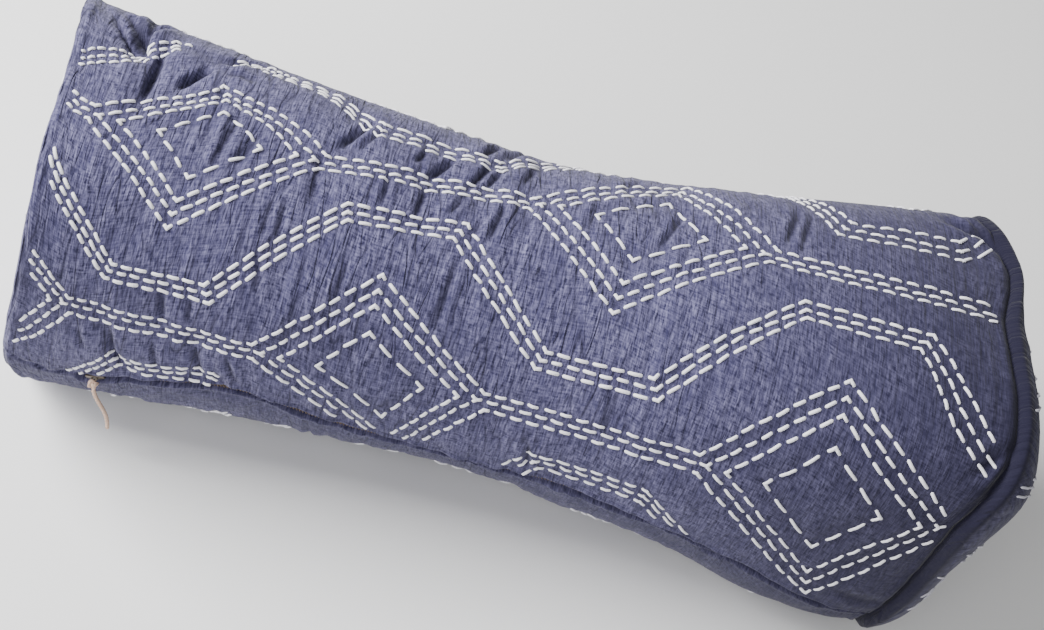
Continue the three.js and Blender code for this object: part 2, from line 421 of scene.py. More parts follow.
def cubic(grid, rows, columns):
    """Reads a grid at fractional rows and columns with a smooth cubic; columns close on themselves."""
    row = np.floor(rows).astype(int)
    column = np.floor(columns).astype(int)
    total = 0
    for i, row_weight in enumerate(cubic_weights(rows - row)):
        at_row = np.clip(row + i - 1, 0, grid.shape[0] - 1)
        for j, column_weight in enumerate(cubic_weights(columns - column)):
            at_column = (column + j - 1) % grid.shape[1]
            weight = row_weight[:, None] * column_weight[None, :]
            total = total + grid[at_row[:, None], at_column[None, :]] * weight[..., None]
    return total


def noise(u, v, seed):
    """Smooth noise between -1 and 1 over u and v, one lump a cell."""
    count = 256
    cells = np.random.default_rng(seed).uniform(-1, 1, (count, count))
    i, j = np.floor(u).astype(int), np.floor(v).astype(int)
    fu, fv = smooth(0, 1, u - i), smooth(0, 1, v - j)
    i, j, after, above = i % count, j % count, (i + 1) % count, (j + 1) % count
    low = cells[i, j] * (1 - fu) + cells[after, j] * fu
    high = cells[i, above] * (1 - fu) + cells[after, above] * fu
    return low * (1 - fv) + high * fv


# Fine grid of the cover: stations along it and degrees up from the long seam, closer by the seams
fine_rows = 400
seen_columns = 116
hidden_columns = 88
seen_to = 155
by_end = np.array([0, 0.0006, 0.0013, 0.0021, 0.0030, 0.0041, 0.0055, 0.0072])
by_seam = np.array([0, 0.45, 0.9, 1.4, 1.9, 2.4, 3.0, 3.7, 4.6])
end_margin = 0.009
seam_margin = 5.8

stations = np.concatenate([
    -1 + by_end / half,
    np.linspace(-1 + end_margin / half, 1 - end_margin / half, fine_rows),
    (1 - by_end / half)[::-1],
])
rises = np.concatenate([
    by_seam,
    np.linspace(seam_margin, seen_to, seen_columns, endpoint=False),
    np.linspace(seen_to, 360 - seam_margin, hidden_columns),
    360 - by_seam[:0:-1],
])

coarse_stations = np.linspace(-1, 1, cover_rows)
coarse_rises = np.arange(cover_columns) * 360 / cover_columns
coarse = cover_points(coarse_stations[:, None], zip_turn - coarse_rises[None, :])
puff = puffed(coarse)


def puff_at(t, rise):
    """The simulation's movement at lists of stations and of degrees up from the seam."""
    return cubic(puff, (t + 1) / 2 * (cover_rows - 1), rise / 360 * cover_columns)


# Lengths round the pillow, measured up from the long seam on the plain form
form_stations = np.linspace(-1, 1, 161)
form_rises = np.linspace(0, 360, 361)
form = cover_points(form_stations[:, None], zip_turn - form_rises[None, :], creased=False)
form_runs = run_along(form[..., 1:], axis=1)


def read_table(table, row, column):
    """Bilinear reading of a table at fractional rows and columns."""
    row = np.clip(row, 0, table.shape[0] - 1.001)
    column = np.clip(column, 0, table.shape[1] - 1.001)
    i, j = np.floor(row).astype(int), np.floor(column).astype(int)
    f, g = row - i, column - j
    if table.ndim == 3:
        f, g = f[..., None], g[..., None]
    low = table[i, j] * (1 - f) + table[i + 1, j] * f
    high = table[i, j + 1] * (1 - f) + table[i + 1, j + 1] * f
    return low * (1 - g) + high * g


def run_at(t, rise):
    """Length of cloth from the seam up to a rise, in metres."""
    return read_table(form_runs, (t + 1) / 2 * (len(form_stations) - 1), rise)


def girth_at(t):
    return run_at(t, 360.0 + 0 * t)


def rise_table():
    shares = np.linspace(0, 1, 361)
    return np.array([np.interp(shares * run[-1], run, form_rises) for run in form_runs])


form_shares = rise_table()


def rise_at(t, run):
    """Degrees up from the seam where the cloth's length from it is run."""
    t = np.clip(t, -1, 1)
    row = (t + 1) / 2 * (len(form_stations) - 1)
    return read_table(form_shares, row, run / girth_at(t) * 360)


# How the stitched repeat lies on the cloth, which is gathered at the waist and bows and tilts a little
repeat = 0.191
repeat_start = 0.268
gather = 0.047
gather_ends = -0.016
bow = 0.571
bow_growth = 0.206
shear = 0.018
bow_middle = 0.3
bow_reach = 0.7
height_start = 0.993
height_share = 0.392
tilt = 0.084
fan = 0.138
sag = -0.070


def hill(middle, width):
    return lambda place: bell(place - middle, width)


def rising(low, high):
    return lambda place: smooth(low, high, place)


def falling(low, high):
    return lambda place: 1 - smooth(low, high, place)


# Slips of the cloth in repeats, where it is pleated and turned in: amount, where along, where down
slips_along = [
    (-0.085, falling(-0.2, 0.4), falling(-0.42, 0)),
    (-0.045, hill(-0.79, 0.12), hill(-0.02, 0.18)),
    (-0.070, hill(-0.35, 0.35), falling(-0.33, -0.20)),
    (-0.060, hill(-0.2, 0.2), hill(-0.23, 0.12)),
    (0.030, hill(-0.03, 0.16), rising(0.42, 0.62)),
]
slips_up = [
    (0.110, rising(0.5, 1.1), falling(-0.25, 0)),
    (0.035, falling(-1.0, -0.70), falling(0, 0.25)),
    (0.120, falling(-1.0, -0.70), falling(-0.42, 0)),
    (0.050, hill(-0.98, 0.16), hill(-0.02, 0.12)),
    (0.016, rising(0.8, 1.1), hill(0, 0.15)),
    (-0.035, hill(0, 0.3), rising(0.56, 0.72)),
    (-0.020, hill(1, 0.3), rising(0.58, 0.72)),
    (0.045, falling(-0.35, 0), falling(-0.50, -0.40)),
    (0.050, hill(-0.2, 0.2), hill(-0.23, 0.12)),
    (-0.055, hill(-0.5, 0.22), falling(-0.25, -0.02)),
    (-0.045, falling(-0.6, -0.3), rising(0.48, 0.62)),
]


def slips(u, v):
    """How far the cloth slips along and up, in repeats."""
    along = sum(amount * where_u(u) * where_v(v) for amount, where_u, where_v in slips_along)
    up = sum(amount * where_u(u) * where_v(v) for amount, where_u, where_v in slips_up)
    wave_tail = smooth(0.80, 0.97, u - v) * smooth(0.12, 0.36, v) * smooth(1.0, 1.2, u)
    squeezed_diamond = (0.008 + 0.19 * (0.5 - v)) * bell(v - 0.5, 0.27) * bell(u - 1, 0.36)
    return along - 0.075 * wave_tail, up + squeezed_diamond


def bowed(w, off):
    """How far the repeat bows along the pillow, off its middle height."""
    fade = np.exp(-(off / bow_reach) ** 2)
    return (bow + bow_growth * w) * bow_reach ** 2 * (1 - fade) + shear * off * fade


def pattern_to_cloth(u, v):
    """Station and length up from the seam, for places u along and v down the pattern."""
    w = u - repeat_start
    off = v - bow_middle
    slip, lift = slips(u, v)
    t = repeat * (w + gather * w ** 2 + gather_ends * w ** 3 + bowed(w, off) + slip) / half
    kept = np.clip(t, -1, 1)
    down = height_share * girth_at(kept)
    down = down + repeat * (v - lift - height_start - tilt * w + fan * w * off + sag * w ** 2)
    return t, run_at(kept, zip_turn + 0 * kept) - down


def cloth_to_pattern(t, run):
    """The reverse of pattern_to_cloth, found in a few rounds."""
    top = run_at(t, zip_turn + 0 * t)
    down = (top - run - height_share * girth_at(t)) / repeat + height_start
    straight = t * half / repeat
    w = straight
    v = down
    for _ in range(14):
        off = v - bow_middle
        slip, lift = slips(w + repeat_start, v)
        w = 0.5 * w + 0.5 * (straight - gather * w ** 2 - gather_ends * w ** 3 - bowed(w, off) - slip)
        v = 0.5 * v + 0.5 * (down + lift + tilt * w - fan * w * off - sag * w ** 2)
    return w + repeat_start, v


# The stitched pattern, in parts of its repeat: rows of diamonds joined by lines, waves between
diamond_wide = 0.246
diamond_high = 0.207
diamond_spread = 0.17
row_pitch = 0.5
line_gap = 0.0204
small_width = 0.121
small_height = 0.110
plateau = 0.125
crest = 0.125
trough = 0.375
dash = 0.0288
dash_gap = 0.0085
small_dash = 0.0480
small_gap = 0.0150
mitre = math.sqrt(2) - 1
corner_overlap = 0.003
pattern_rows = range(-6, 4)
pattern_columns = range(-3, 4)


def diamond_lines(u, v):
    """Three diamonds, one inside the other; the outer one stops at the joining lines."""
    lines = []
    for step in (-1, 0, 1):
        size = 1 + step * diamond_spread
        wide, high = diamond_wide * size, diamond_high * size
        rise = line_gap if step > 0 else 0
        stop = wide * (1 - rise / high)
        for along in (-1, 1):
            for down in (-1, 1):
                lines.append(((u, v + down * high), (u + along * stop, v + down * rise)))
    return lines


def joining_lines(u, v):
    """Three lines from a diamond to the next; the outer two start at the outer diamond."""
    lines = []
    for offset in (-line_gap, 0, line_gap):
        start = diamond_wide
        if offset:
            start = diamond_wide * (1 + diamond_spread - line_gap / diamond_high)
        lines.append(((u + start, v + offset), (u + 1 - start, v + offset)))
    return lines


def small_lines(u, v):
    corners = [(u - small_width, v), (u, v - small_height), (u + small_width, v), (u, v + small_height)]
    return [(corners[i], corners[(i + 1) % 4]) for i in range(4)]


def wave_lines(u, v):
    """One repeat of the wave under the diamond at (u, v)."""
    lines = []
    for offset in (-line_gap, 0, line_gap):
        slide = offset * mitre
        low, high = v + trough + offset, v + crest + offset
        corners = [
            (u - plateau - slide, low),
            (u + plateau + slide, low),
            (u + 0.5 - plateau + slide, high),
            (u + 0.5 + plateau - slide, high),
            (u + 1 - plateau - slide, low),
        ]
        lines += [(corners[i], corners[i + 1]) for i in range(4)]
    return lines


def pattern_lines():
    """Every line of the pattern with its dash and gap."""
    lines = []
    for row in pattern_rows:
        v = row * row_pitch
        shift = 0.5 * (row % 2 == 0)
        for column in pattern_columns:
            u = column + shift
            for line in diamond_lines(u, v) + joining_lines(u, v) + wave_lines(u, v):
                lines.append((line, dash, dash_gap))
            for line in small_lines(u, v):
                lines.append((line, small_dash, small_gap))
    return lines


def dashes_of(line, long, gap):
    """Starts and ends of the stitches along one line, and which of those are at its corners."""
    (u0, v0), (u1, v1) = line
    length = math.hypot(u1 - u0, v1 - v0)
    count = max(1, round(length / (long + gap)))
    pitch = length / count
    part = pitch - gap
    spans = [(-corner_overlap, part / 2, 1, 0), (length - part / 2, length + corner_overlap, 0, 1)]
    spans += [(k * pitch - part / 2, k * pitch + part / 2, 0, 0) for k in range(1, count)]
    du, dv = (u1 - u0) / length, (v1 - v0) / length
    return [(u0 + du * a, v0 + dv * a, u0 + du * b, v0 + dv * b, first, last)
            for a, b, first, last in spans]


def line_distance(u, v):
    """Distance from places in the pattern to its nearest line, in parts of the repeat."""
    u = (u + 0.5) % 1 - 0.5
    v = v % 1
    nearest = np.full(u.shape, 1.0)
    for row in (-1, 0, 1, 2, 3):
        for column in (-2, -1, 0, 1):
            cu, cv = column + 0.5 * (row % 2 == 0), row * row_pitch
            parts = diamond_lines(cu, cv)[4:8] + joining_lines(cu, cv)[1:2] + wave_lines(cu, cv)[4:8]
            for (u0, v0), (u1, v1) in parts + small_lines(cu, cv):
                du, dv = u1 - u0, v1 - v0
                along = np.clip(((u - u0) * du + (v - v0) * dv) / (du * du + dv * dv), 0, 1)
                nearest = np.minimum(nearest, np.hypot(u - u0 - along * du, v - v0 - along * dv))
    return nearest


# Folds laid one by one: x and turn of the start and of the end, depth, width, in millimetres and degrees
corner_tuck = [
    (-188, -27, -180, -20, 3.4, 2.2),
    (-180, -30, -176, -20, 3.2, 2.6),
    (-182, -36, -177, -23, 1.6, 4.5),
    (-187, -37, -178, -27, 2.8, 2.4),
    (-178, -27, -170, -37, 2.4, 2.2),
    (-176, -46, -176, -24, 2.2, 2.4),
]
folds_from_the_top = [
    (-167, -20, -168, 2, 2.6, 1.9),
    (-146, -19, -155, -7, 2.4, 1.9),
    (-142, -26, -127, -34, 1.4, 2.2),
    (-138, -20, -126, -21, 1.2, 2.2),
    (-126, -2, -130, 18, 1.2, 2.0),
    (-115, 2, -120, 15, 1.1, 1.9),
    (-102, 23, -102, 36, 0.9, 1.7),
    (-97, 23, -96, 36, 0.9, 1.7),
    (-101, 40, -98, 53, 0.9, 1.7),
    (-89, 4, -87, 21, 1.2, 1.8),
    (-73, -21, -82, -4, 2.2, 1.9),
    (-69, -15, -74, -5, 1.3, 1.5),
    (-66, 37, -67, 49, 0.8, 1.5),
    (-59, 3, -59, 14, 1.2, 1.5),
    (-47, -14, -50, -7, 1.5, 1.4),
    (-43, 3, -44, 14, 1.7, 1.6),
    (-35, -15, -42, -4, 2.3, 1.8),
    (-27, 3, -31, 10, 1.5, 1.5),
    (-23, 26, -24, 46, 1.5, 1.6),
    (-19, -18, -25, -4, 1.8, 1.6),
    (-17, 9, -20, 18, 1.1, 1.4),
    (-17, -37, -23, -24, 1.8, 1.8),
    (-14, -17, -18, -8, 1.6, 1.4),
    (-9, 1, -12, 15, 1.6, 1.6),
    (-3, -46, -12, -30, 1.6, 2.0),
    (0, -24, -3, -14, 1.3, 1.4),
    (48, -36, 41, -27, 1.2, 1.6),
    (67, -15, 60, 1, 1.6, 1.7),
    (71, 1, 67, 13, 0.9, 1.6),
    (118, -27, 112, -10, 1.5, 1.8),
    (123, -24, 118, -7, 1.0, 1.5),
]
folds_at_the_zip = [
    (-156, 76, -154, 86, 2.0, 1.7),
    (-154, 86, -149, 91, 2.0, 1.7),
    (-136, 60, -134, 69, 1.3, 1.5),
    (-124, 59, -123, 68, 1.3, 1.5),
    (-119, 81, -115, 93, 1.8, 1.6),
    (-105, 82, -99, 96, 1.6, 1.6),
    (-137, 79, -134, 91, 1.2, 1.5),
    (-171, 76, -167, 84, 1.1, 1.5),
    (28, 83, 30, 93, 1.8, 1.5),
]
folds_at_the_right_end = [
    (187, -35, 203, -28, 3.0, 2.4),
    (196, -44, 205, -20, 2.4, 2.2),
    (205, 39, 196, 47, 1.6, 2.2),
    (206, 44, 201, 62, 1.2, 2.0),
    (178, 92, 202, 93, 1.0, 2.4),
    (116, 103, 128, 101, 1.4, 1.8),
]
folds_behind = [
    (-60, 190, -44, 214, 1.8, 2.2),
    (30, 240, 40, 262, 1.6, 2.0),
    (-110, 250, -122, 276, 2.0, 2.2),
    (90, 280, 82, 302, 1.8, 2.0),
]
folds = corner_tuck + folds_from_the_top + folds_at_the_zip + folds_at_the_right_end + folds_behind
round_scale = 0.00135
fold_window = 0.55
shoulder_share = 0.4


def fold_relief(x, turn):
    """The listed folds: sharp valleys with a soft shoulder at each side, and painted shade where a point
    lies deep in one.
    """
    height = np.zeros(np.broadcast(x, turn).shape)
    fold_painted_shade = np.zeros(height.shape)
    for x0, turn0, x1, turn1, depth, width in folds:
        du, dv = (x1 - x0) / 1000, (turn1 - turn0) * round_scale
        away_u = x - x0 / 1000
        away_v = turn_between(turn, turn0) * round_scale
        length = math.hypot(du, dv)
        along = (away_u * du + away_v * dv) / length ** 2
        across = np.abs(away_u * dv - away_v * du) / length * 1000
        window = np.exp(-np.abs((along - 0.5) / fold_window) ** 4)
        valley = bell(across, width * 0.8)
        shoulders = bell(across - width * 2, width)
        height -= depth / 1000 * window * (valley - shoulder_share * shoulders)
        fold_painted_shade = np.maximum(fold_painted_shade, window * bell(across, width * 0.7) * min(1, 0.45 + depth / 3))
    return height, fold_painted_shade


# Fine relief of the cloth
crinkle_height = 0.00060
crinkle_pitch = 0.0043
crinkle_length = 0.028
lump_height = 0.0009
quilt_depth = 0.00070
end_seam_depth = 0.0024
end_seam_width = 0.0016
left_seam_share = 0.45
end_fold_height = 0.0004
end_fold_place = 0.0034
end_fold_width = 0.0015
long_seam_depth = 0.0017
lip_height = 0.0008
channel_depth = 0.0027
pucker_height = 0.0006
end_roll = 0.0035
end_sink = 0.020
rest_gap = 0.00095
resting_share = 0.15
left_pull_from = 0.70
right_pull_from = 0.88

# Where the zip's lips part: place along the pillow, length, half width
zip_gap = 0.0006
zip_gaps = [(0.080, 0.012, 0.0014), (0.047, 0.012, 0.0007), (-0.166, 0.006, 0.0016)]

# Pulls of the sewing on the end seams, outwards: turn, spread, reach
left_pulls = [(57, 24, 0.0028), (128, 17, 0.0075)]
right_pulls = [(-18, 16, 0.0075), (26, 26, 0.0034), (60, 12, -0.0042), (106, 14, -0.0030)]

# Painted shade: how dark the insides of the folds, seams and hem, the stitched lines and the zip's lips
# are painted
end_seam_painted_shade = 1.2
end_seam_painted_shade_width = 0.0052
long_seam_painted_shade = (0.2, 0.7)
stitch_line_painted_shade = 0.30
stitch_line_painted_shade_width = 0.028
hem_painted_shade = 0.52
lip_painted_shade = 0.30


def crinkles(x, run):
    """Fine crinkles round the pillow, strong from the left end to the middle and faint at the right."""
    bent = 0.7 * noise(x / 0.02, run / 0.03, 3)
    ripple = noise(x / crinkle_pitch + bent, run / crinkle_length, 5)
    finer = noise(x / (0.5 * crinkle_pitch) + bent, run / (0.5 * crinkle_length), 7)
    patch = 0.75 + 0.5 * noise(x / 0.035, run / 0.05, 9)
    strength = 1 - 0.72 * smooth(0.06, 0.15, x)
    return crinkle_height * strength * patch * (ripple + 0.45 * finer)


def zip_opening(x):
    """Half the width of the gap between the zip's lips."""
    return zip_gap + sum(wide * bell(x - at, length) for at, length, wide in zip_gaps)


def seam_relief(x, run, girth):
    """End seams rolled in between two soft folds, and the long seam with the zip in it."""
    to_end = half - np.abs(x)
    uneven = 1 + 0.35 * noise(run / 0.013, x * 0, 11)
    height = -end_seam_depth * np.where(x > 0, 1, left_seam_share) * bell(to_end, end_seam_width)
    fold = bell(to_end - end_fold_place, end_fold_width) - bell(to_end - 0.0066, 0.0018)
    height += uneven * end_fold_height * fold
    height -= end_roll * np.exp(-to_end / 0.018) * smooth(0, 0.1, x)
    height += pucker_height * noise(run / 0.0055, x / 0.03, 13) * np.exp(-to_end / 0.009)
    to_seam = np.minimum(run, girth - run)
    zipped = smooth(zip_start - 0.004, zip_start, x) * (1 - smooth(zip_end, zip_end + 0.004, x))
    gap = zip_opening(x)
    channel = 1 - smooth(gap, gap + 0.0011, to_seam)
    lips = bell(to_seam - gap - 0.0021, 0.0012)
    height -= zipped * (channel_depth * channel - lip_height * lips)
    plain = (1 - zipped) * (0.3 + 0.7 * (x > 0))
    height -= plain * (long_seam_depth * bell(to_seam, 0.0011) - 0.0004 * bell(to_seam - 0.0028, 0.0013))
    height += pucker_height * noise(x / 0.0065, run / 0.03, 15) * np.exp(-to_seam / 0.008)
    return height


def quilting(u, v):
    """The cloth sinks at the stitched lines and rises between them."""
    away = line_distance(u, v)
    return quilt_depth * (0.4 - bell(away, 0.024))


def normals_of(grid):
    along = np.gradient(grid, axis=0)
    around = np.roll(grid, -1, axis=1) - np.roll(grid, 1, axis=1)
    normal = unit(np.cross(around, along))
    outward = np.sign((normal * (grid - grid.mean(axis=1, keepdims=True))).sum(axis=-1).mean())
    return normal * outward


def end_shift(end, turn):
    """How far the sewing pulls an end's seam along, at a turn; only pulls under the zip wrap round."""
    pulls = left_pulls if end < 0 else right_pulls
    return sum(reach * bell(turn_between(turn, at) if at > zip_turn else turn - at, spread)
               for at, spread, reach in pulls)


def cover_shade(x, u, v, run, girth, fold_painted_shade):
    """Painted shade at each place: in folds, seams and stitched lines, on the hem, and round the zip."""
    to_end = half - np.abs(x)
    to_seam = np.minimum(run, girth - run)
    ragged = end_seam_painted_shade_width * (1 + 0.40 * noise(run / 0.006, x * 0, 19))
    by_left, by_zip = long_seam_painted_shade
    return np.maximum.reduce([
        fold_painted_shade,
        end_seam_painted_shade * (x > 0) * bell(to_end, ragged),
        (by_left + by_zip * (x > zip_start)) * bell(to_seam, 0.0012),
        stitch_line_painted_shade * bell(line_distance(u, v), stitch_line_painted_shade_width),
        hem_painted_shade * (1 - smooth(0.012, 0.045, girth - run)),
        lip_painted_shade * (1 - smooth(0.004, 0.016, run)) * (1 - smooth(0.02, 0.1, x)),
    ])


def cover_surface():
    """The finished cloth: the form, blown up, with its folds, crinkles, seams and quilting."""
    t, rise = stations[:, None], rises[None, :]
    grid = cover_points(t, zip_turn - rise) + puff_at(stations, rises)
    normal = normals_of(grid)
    full_t = t + 0 * rise
    turn = zip_turn - rise + 0 * t
    run = run_at(full_t, rise + 0 * t)
    girth = girth_at(full_t)
    x = full_t * half
    u, v = cloth_to_pattern(full_t, run)
    loose = smooth(0.0002, 0.004, grid[..., 2])
    height, fold_painted_shade = fold_relief(x, turn)
    height += crinkles(x, run) + quilting(u, v)
    height += lump_height * noise(x / 0.05, run / 0.05, 17)
    height += seam_relief(x, run, girth)
    finished = grid + normal * (height * (resting_share + (1 - resting_share) * loose))[..., None]
    finished[..., 2] = np.maximum(finished[..., 2], rest_gap)
    finished[..., 0] += end_shift(-1, turn) * smooth(left_pull_from, 1, -full_t)
    finished[..., 0] += end_shift(1, turn) * smooth(right_pull_from, 1, full_t)
    return finished, run, cover_shade(x, u, v, run, girth, fold_painted_shade)


surface, surface_runs, surface_shade = cover_surface()
surface_normals = normals_of(surface)
cloth_scale = 10


def corner_points(piece):
    """The point at each corner of a piece's faces."""
    corners = np.zeros(len(piece.data.loops), int)
    piece.data.loops.foreach_get("vertex_index", corners)
    return corners


def mark_cloth(piece, places, shade):
    """Keeps where each corner lies on the cloth, and how much painted shade each point gets; hubs get
    none.
    """
    layer = piece.data.uv_layers.new(name="cloth")
    layer.data.foreach_set("uv", (places * cloth_scale).ravel())
    painted_shade = piece.data.attributes.new("painted_shade", "FLOAT", "POINT")
    painted_shade.data.foreach_set("value", np.append(shade.ravel(), [0, 0]))


def add_cover():
    cover = capped_tube("pillow_cover", surface, end_sink)
    rows, columns = surface.shape[:2]
    girths = girth_at(stations)
    places = np.zeros((rows * columns + 2, 2))
    places[:-2, 0] = np.repeat(stations * half, columns)
    places[:-2, 1] = surface_runs.ravel()
    flat = places[corner_points(cover)]
    quads = flat[: (rows - 1) * columns * 4].reshape(rows - 1, columns, 4, 2)
    quads[:, -1, 2, 1] = girths[1:]
    quads[:, -1, 3, 1] = girths[:-1]
    mark_cloth(cover, flat, surface_shade)
    face_out(cover)
    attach(cover, "root")
    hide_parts("cover_body")
    return cover


cover = add_cover()


# End panels: domed cloth sewn in at each end, with the seam rolled in
panel_rings = 56
panel_columns = 2
flat_rise = 0.0008
right_drop = 0.0015
ring_crowding = 1.8
last_ring = 0.985
corner_push = 0.004
corner_push_turn = 54
shoulder_drop = 0.014
shoulder_turn = -20
rim_painted_shade = 1.2
panel_painted_shade = 0.56


def panel_reach(end, turns, fraction):
    """Where a ring of an end lies along the pillow; fraction is 1 at the seam and 0 in the middle."""
    turn = strayed(end * half, turns)
    height = flat_rise if end < 0 else right_rise - right_drop
    lean = slant_at(end, turn) * fraction + corner_at(end, turn) * fraction ** seam_fade
    x = seam_middle + end * (half + height * math.sqrt(1 - fraction ** dome_power)) + lean
    if end < 0:
        return x + end_shift(end, turns) * smooth(0, 0.5, fraction)
    x = x + end_shift(end, turns) * fraction ** 8
    x = x + corner_push * bell(turns - corner_push_turn, 13) * bell(fraction - 0.84, 0.16)
    shoulder = bell(turns - shoulder_turn, 24) * bell(fraction - 0.82, 0.25) * (1 - fraction ** 12)
    return x - shoulder_drop * shoulder


def panel_relief(grid, around, to_seam):
    """The seam's fold, its puckers, and lumps and crinkles of the filled cloth."""
    y, z = grid[..., 1], grid[..., 2]
    relief = end_fold_height * bell(to_seam - end_fold_place, end_fold_width)
    puckers = noise(around / 0.008, to_seam / 0.03, 21) * np.exp(-to_seam / 0.014)
    relief = relief + pucker_height * 0.6 * puckers
    relief = relief + 0.0012 * noise(y / 0.035, z / 0.035, 23) * smooth(0, 0.02, to_seam)
    return relief + crinkle_height * 0.3 * noise(y / 0.006, z / 0.02, 25)


def panel_surface(end):
    """Rings of an end from its seam to near its middle, as in the CAD, with the seam's roll added."""
    turns = zip_turn - rises[::panel_columns]
    rim = cover_points(end + 0 * turns, turns)
    middle = side_at(np.array(end)) / 2 - rest_sink
    spread = np.linspace(0, 1, panel_rings) ** ring_crowding * last_ring
    rings = []
    for gone in spread:
        fraction = 1 - gone
        x = panel_reach(end, turns, fraction)
        y = rim[:, 1] * fraction
        z = middle + (rim[:, 2] - middle) * fraction
        rings.append(np.stack([x, y, z], axis=-1))
    grid = np.array(rings)
    normal = normals_of(grid)
    normal = normal * np.sign(end * normal[-4, :, 0].mean())
    to_seam = run_along(grid)
    around = run_at(np.full(len(turns), float(end)), rises[::panel_columns])[None, :]
    relief = panel_relief(grid, around, to_seam) * smooth(0.02, 0.14, 1 - spread)[:, None]
    seam_in = end_seam_depth * (1 if end > 0 else left_seam_share) * bell(to_seam, end_seam_width)
    inward = unit((np.array([0, 0, middle]) - grid) * np.array([0, 1, 1]))
    grid = grid + normal * relief[..., None] + inward * seam_in[..., None]
    # Painted shade on the right end only: darkest at the rolled-in seam, then over the panel's outer
    # band; the left end gets none
    by_rim = rim_painted_shade * (1 - smooth(0.0035, 0.0095, to_seam))
    dark = np.maximum(by_rim, panel_painted_shade * (1 - smooth(0.03, 0.09, to_seam)))
    return grid, dark * (end > 0)


def add_panel(name, node, end):
    grid, shade = panel_surface(end)
    rows, columns = grid.shape[:2]
    centre = (grid[-1].min(0) + grid[-1].max(0)) / 2
    back = grid[0].mean(0) - np.array([end * end_sink / 2, 0, 0])
    faces = tube_faces(rows, columns)
    faces += fan_faces(list(range((rows - 1) * columns, rows * columns)), rows * columns, True)
    faces += fan_faces(list(range(columns)), rows * columns + 1, False)
    points = np.vstack([grid.reshape(-1, 3), centre, back])
    panel = mesh_object(name, points, faces)
    mark_cloth(panel, points[corner_points(panel)][:, 1:], shade)
    face_out(panel)
    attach(panel, "root")
    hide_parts(node)
    return panel, grid


left_panel, left_grid = add_panel("left_end", "end_panel_left", -1)
right_panel, right_grid = add_panel("right_end", "end_panel_right", 1)


# Stitches: small rounded bars of thread lying on the cloth, their ends sunk into it
stitch_width = 0.00160
panel_stitch_width = 0.00125
stitch_height = 0.00100
stitch_lift = 0.00045
stitch_sink = 0.00030
stitch_steps = np.array([0, 0.10, 0.5, 0.90, 1])
stitch_fullness = np.array([0.6, 0.95, 1, 0.95, 0.6])
stitch_wander = 0.0012
seam_clearance = 0.0042
long_seam_clearance = 0.0022
panel_clearance = 0.0016
underside_hem = 0.030

# Places in the pattern whose stitches the folds swallow: from and to along, from and to down
swallowed = [(-0.92, -0.70, -0.60, -0.385), (-0.95, -0.86, 0.46, 0.54), (-0.58, -0.46, -0.46, -0.30)]


def thread_bars(paths, normals, corners, wide):
    """Points and faces of one bar along each path; ends at the pattern's corners stay up."""
    count, steps, sides = len(paths), len(stitch_steps), 6
    side = unit(np.cross(unit(np.gradient(paths, axis=1)), normals))
    sunk = 1 - np.sin(math.pi * stitch_steps) ** 0.6
    at_corner = corners[:, :1] * (stitch_steps < 0.5) + corners[:, 1:] * (stitch_steps > 0.5)
    sunk = sunk * (1 - 0.9 * at_corner)
    full = stitch_fullness + (1 - stitch_fullness) * at_corner
    centre = paths + normals * (stitch_lift - (stitch_lift + stitch_sink) * sunk)[..., None]
    angle = np.arange(sides) * 2 * math.pi / sides
    ring = centre[:, :, None] + full[:, :, None, None] / 2 * (
        wide * np.cos(angle)[None, None, :, None] * side[:, :, None]
        + stitch_height * np.sin(angle)[None, None, :, None] * normals[:, :, None])
    points = ring.reshape(-1, 3)
    index = np.arange(count * steps * sides).reshape(count, steps, sides)
    across = np.roll(index, -1, axis=2)
    quads = np.stack([index[:, :-1], index[:, 1:], across[:, 1:], across[:, :-1]], axis=-1)
    faces = quads.reshape(-1, 4).tolist()
    faces += index[:, 0, ::-1].tolist()
    faces += index[:, -1].tolist()
    return points, faces


def stitch_places(seed):
    """All the stitches' paths in the pattern, five places along each, and their corner ends."""
    ends = np.array([span for line, long, gap in pattern_lines() for span in dashes_of(line, long, gap)])
    loose = 1 - ends[:, [4, 4, 5, 5]]
    ends[:, :4] += np.random.default_rng(seed).normal(0, stitch_wander, (len(ends), 4)) * loose
    f = stitch_steps[None, :]
    u = ends[:, 0:1] * (1 - f) + ends[:, 2:3] * f
    v = ends[:, 1:2] * (1 - f) + ends[:, 3:4] * f
    return u, v, ends[:, 4:]


def on_surface(t, rise, table):
    row = np.interp(t, stations, np.arange(len(stations)))
    column = np.interp(rise, rises, np.arange(len(rises)))
    return read_table(table, row, column)


def add_stitches(name, paths, normals, corners, wide):
    points, faces = thread_bars(paths, normals, corners, wide)
    stitches = mesh_object(name, points, faces)
    face_out(stitches)
    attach(stitches, "root")
    return stitches


def add_cover_stitches():
    u, v, corners = stitch_places(31)
    t, run = pattern_to_cloth(u, v)
    kept = np.clip(t, -1, 1)
    inside = (half - np.abs(t * half) > seam_clearance) & (run > long_seam_clearance)
    inside &= run < girth_at(kept) - underside_hem
    for u0, u1, v0, v1 in swallowed:
        inside &= ~((u > u0) & (u < u1) & (v > v0) & (v < v1))
    inside = inside.all(axis=1)
    t, run = t[inside], run[inside]
    rise = rise_at(t, run)
    return add_stitches("cover_stitches", on_surface(t, rise, surface),
                        on_surface(t, rise, surface_normals), corners[inside], stitch_width)


